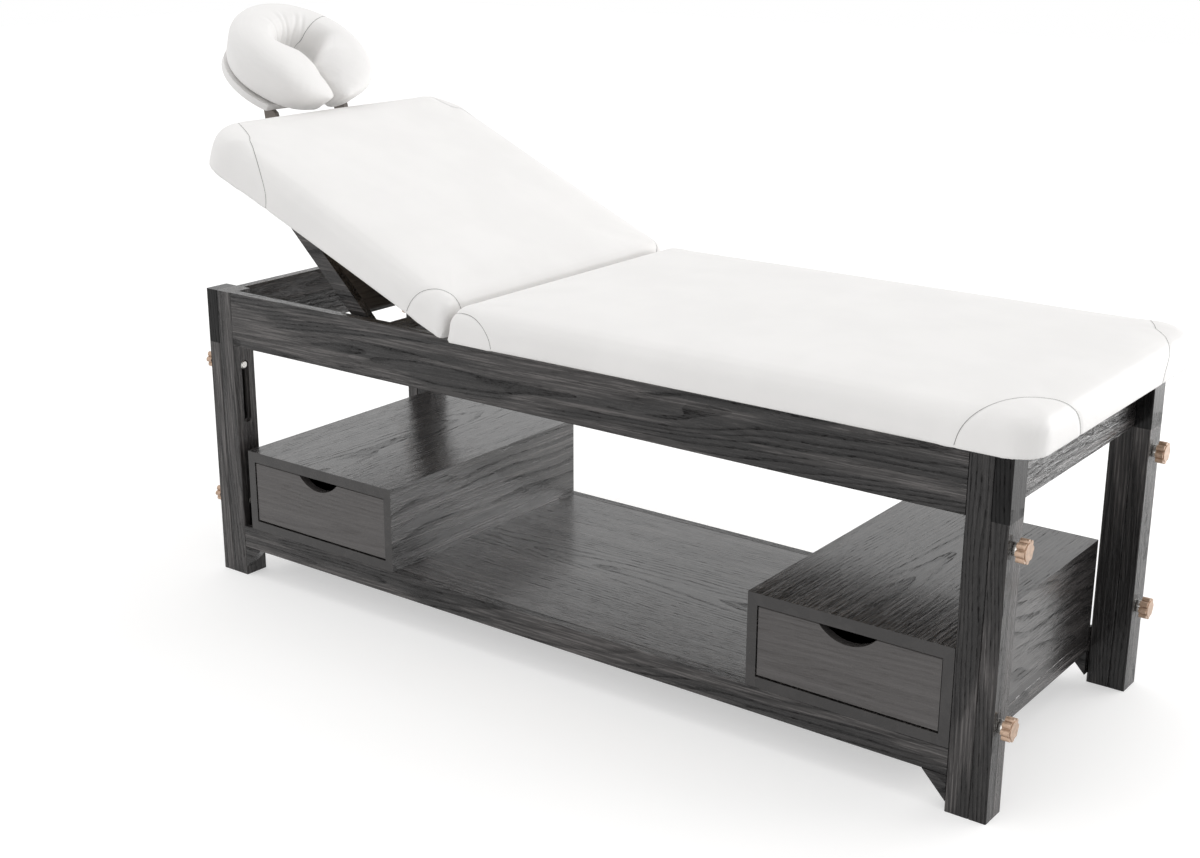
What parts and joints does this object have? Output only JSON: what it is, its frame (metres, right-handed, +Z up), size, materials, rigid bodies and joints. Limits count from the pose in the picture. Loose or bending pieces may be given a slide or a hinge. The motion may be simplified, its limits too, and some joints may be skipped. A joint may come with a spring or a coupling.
{
  "type": "treatment bed with cabinet base",
  "caption": "Wooden spa bed with white padded top, lifting backrest, face cradle, low shelf and drawer cabinets under the bed; height set by clamped sliding legs.",
  "frame": {"origin": "centre of the bed's box on the floor plane, at the bottom of the legs", "axes": "+X along the bed towards the foot end, the headrest at -X; the drawers open towards -Y; +Z up"},
  "size_m": [2.1188, 0.756, 1.228],
  "materials": {
    "black_wood": "black-stained open-grain wood, satin lacquer",
    "drawer_wood": "black-stained wood, satin",
    "plywood": "bare plywood",
    "grey_board": "grey-black painted board",
    "white_upholstery": "white artificial leather over foam, fine satin grain",
    "white_panel": "white covered panel",
    "steel": "zinc-plated steel",
    "grey_metal": "brown-grey powder coat",
    "bronze_knob": "bronze-coloured knob"
  },
  "bodies": {
    "stand": {"outer_leg_front_foot": "black_wood", "outer_leg_rear_foot": "black_wood", "outer_leg_front_head": "black_wood", "outer_leg_rear_head": "black_wood", "clamp_bolts": "steel"},
    "knob_front_foot_high": {"knob_front_foot_high": "bronze_knob"},
    "knob_front_foot_low": {"knob_front_foot_low": "bronze_knob"},
    "knob_front_head_high": {"knob_front_head_high": "bronze_knob"},
    "knob_front_head_low": {"knob_front_head_low": "bronze_knob"},
    "knob_rear_foot_high": {"knob_rear_foot_high": "bronze_knob"},
    "knob_rear_foot_low": {"knob_rear_foot_low": "bronze_knob"},
    "knob_rear_head_high": {"knob_rear_head_high": "bronze_knob"},
    "knob_rear_head_low": {"knob_rear_head_low": "bronze_knob"},
    "table": {"inner_leg_front_foot": "black_wood", "inner_leg_rear_foot": "black_wood", "inner_leg_front_head": "black_wood", "inner_leg_rear_head": "black_wood", "corner_blocks": "black_wood", "front_side_rail": "black_wood", "rear_side_rail": "black_wood", "foot_end_rail": "black_wood", "head_end_rail": "black_wood", "cross_beams": "black_wood", "front_apron": "black_wood", "rear_apron": "black_wood", "lower_end_rails": "black_wood", "apron_gussets": "black_wood", "shelf_board": "black_wood", "foot_cabinet_sides": "black_wood", "foot_cabinet_top": "black_wood", "foot_cabinet_base": "black_wood", "foot_cabinet_back": "black_wood", "foot_cabinet_runners": "drawer_wood", "head_cabinet_sides": "black_wood", "head_cabinet_top": "black_wood", "head_cabinet_base": "black_wood", "head_cabinet_back": "black_wood", "head_cabinet_runners": "drawer_wood", "seat_board": "plywood", "seat_cushion": "white_upholstery", "seat_hinge_leaves": "steel", "prop_racks": "black_wood"},
    "foot_drawer": {"foot_drawer_front": "black_wood", "foot_drawer_box": "drawer_wood"},
    "head_drawer": {"head_drawer_front": "black_wood", "head_drawer_box": "drawer_wood"},
    "backrest": {"back_board": "plywood", "back_cushion": "white_upholstery", "back_hinge_leaves": "steel", "prop_brackets": "steel", "headrest_sockets": "grey_metal"},
    "prop": {"prop_arms": "black_wood", "prop_board": "grey_board", "prop_foot_bar": "steel"},
    "headrest_carriage": {"headrest_rods": "grey_metal", "headrest_cross_bar": "grey_metal"},
    "headrest": {"headrest_plate": "white_panel", "headrest_brackets": "grey_metal", "face_ring": "white_upholstery"}
  },
  "joints": [
    {"name": "height", "type": "slide", "parent": "stand", "child": "table", "axis": [0, 0, 1], "range_m": [0, 0.12]},
    {"name": "turn_front_foot_high", "type": "hinge", "parent": "stand", "child": "knob_front_foot_high", "pos_m": [1.00744, -0.3115, 0.485], "axis": [1, 0, 0], "continuous": true},
    {"name": "turn_front_foot_low", "type": "hinge", "parent": "stand", "child": "knob_front_foot_low", "pos_m": [1.00744, -0.3115, 0.171], "axis": [1, 0, 0], "continuous": true},
    {"name": "turn_front_head_high", "type": "hinge", "parent": "stand", "child": "knob_front_head_high", "pos_m": [-0.86456, -0.3115, 0.485], "axis": [1, 0, 0], "continuous": true},
    {"name": "turn_front_head_low", "type": "hinge", "parent": "stand", "child": "knob_front_head_low", "pos_m": [-0.86456, -0.3115, 0.171], "axis": [1, 0, 0], "continuous": true},
    {"name": "turn_rear_foot_high", "type": "hinge", "parent": "stand", "child": "knob_rear_foot_high", "pos_m": [1.00744, 0.3115, 0.485], "axis": [1, 0, 0], "continuous": true},
    {"name": "turn_rear_foot_low", "type": "hinge", "parent": "stand", "child": "knob_rear_foot_low", "pos_m": [1.00744, 0.3115, 0.171], "axis": [1, 0, 0], "continuous": true},
    {"name": "turn_rear_head_high", "type": "hinge", "parent": "stand", "child": "knob_rear_head_high", "pos_m": [-0.86456, 0.3115, 0.485], "axis": [1, 0, 0], "continuous": true},
    {"name": "turn_rear_head_low", "type": "hinge", "parent": "stand", "child": "knob_rear_head_low", "pos_m": [-0.86456, 0.3115, 0.171], "axis": [1, 0, 0], "continuous": true},
    {"name": "foot_drawer_slide", "type": "slide", "parent": "table", "child": "foot_drawer", "axis": [0, -1, 0], "range_m": [0, 0.38]},
    {"name": "head_drawer_slide", "type": "slide", "parent": "table", "child": "head_drawer", "axis": [0, -1, 0], "range_m": [0, 0.38]},
    {"name": "backrest_hinge", "type": "hinge", "parent": "table", "child": "backrest", "pos_m": [-0.15356, 0, 0.647], "axis": [0, 1, 0], "range_deg": [-22.7, 12.3]},
    {"name": "prop_hinge", "type": "hinge", "parent": "backrest", "child": "prop", "pos_m": [-0.64127, 0, 0.82337], "axis": [0, 1, 0], "range_deg": [-20.4, 11.2]},
    {"name": "headrest_slide", "type": "slide", "parent": "backrest", "child": "headrest_carriage", "axis": [-0.9225, 0, 0.3859], "range_m": [0, 0.06]},
    {"name": "headrest_tilt", "type": "hinge", "parent": "headrest_carriage", "child": "headrest", "pos_m": [-0.87194, 0, 0.97677], "axis": [0, 1, 0], "range_deg": [-25, 8]}
  ],
  "couplings": [
    {"joint": "prop_hinge", "follows": "backrest_hinge", "ratio": 0.8781}
  ]
}
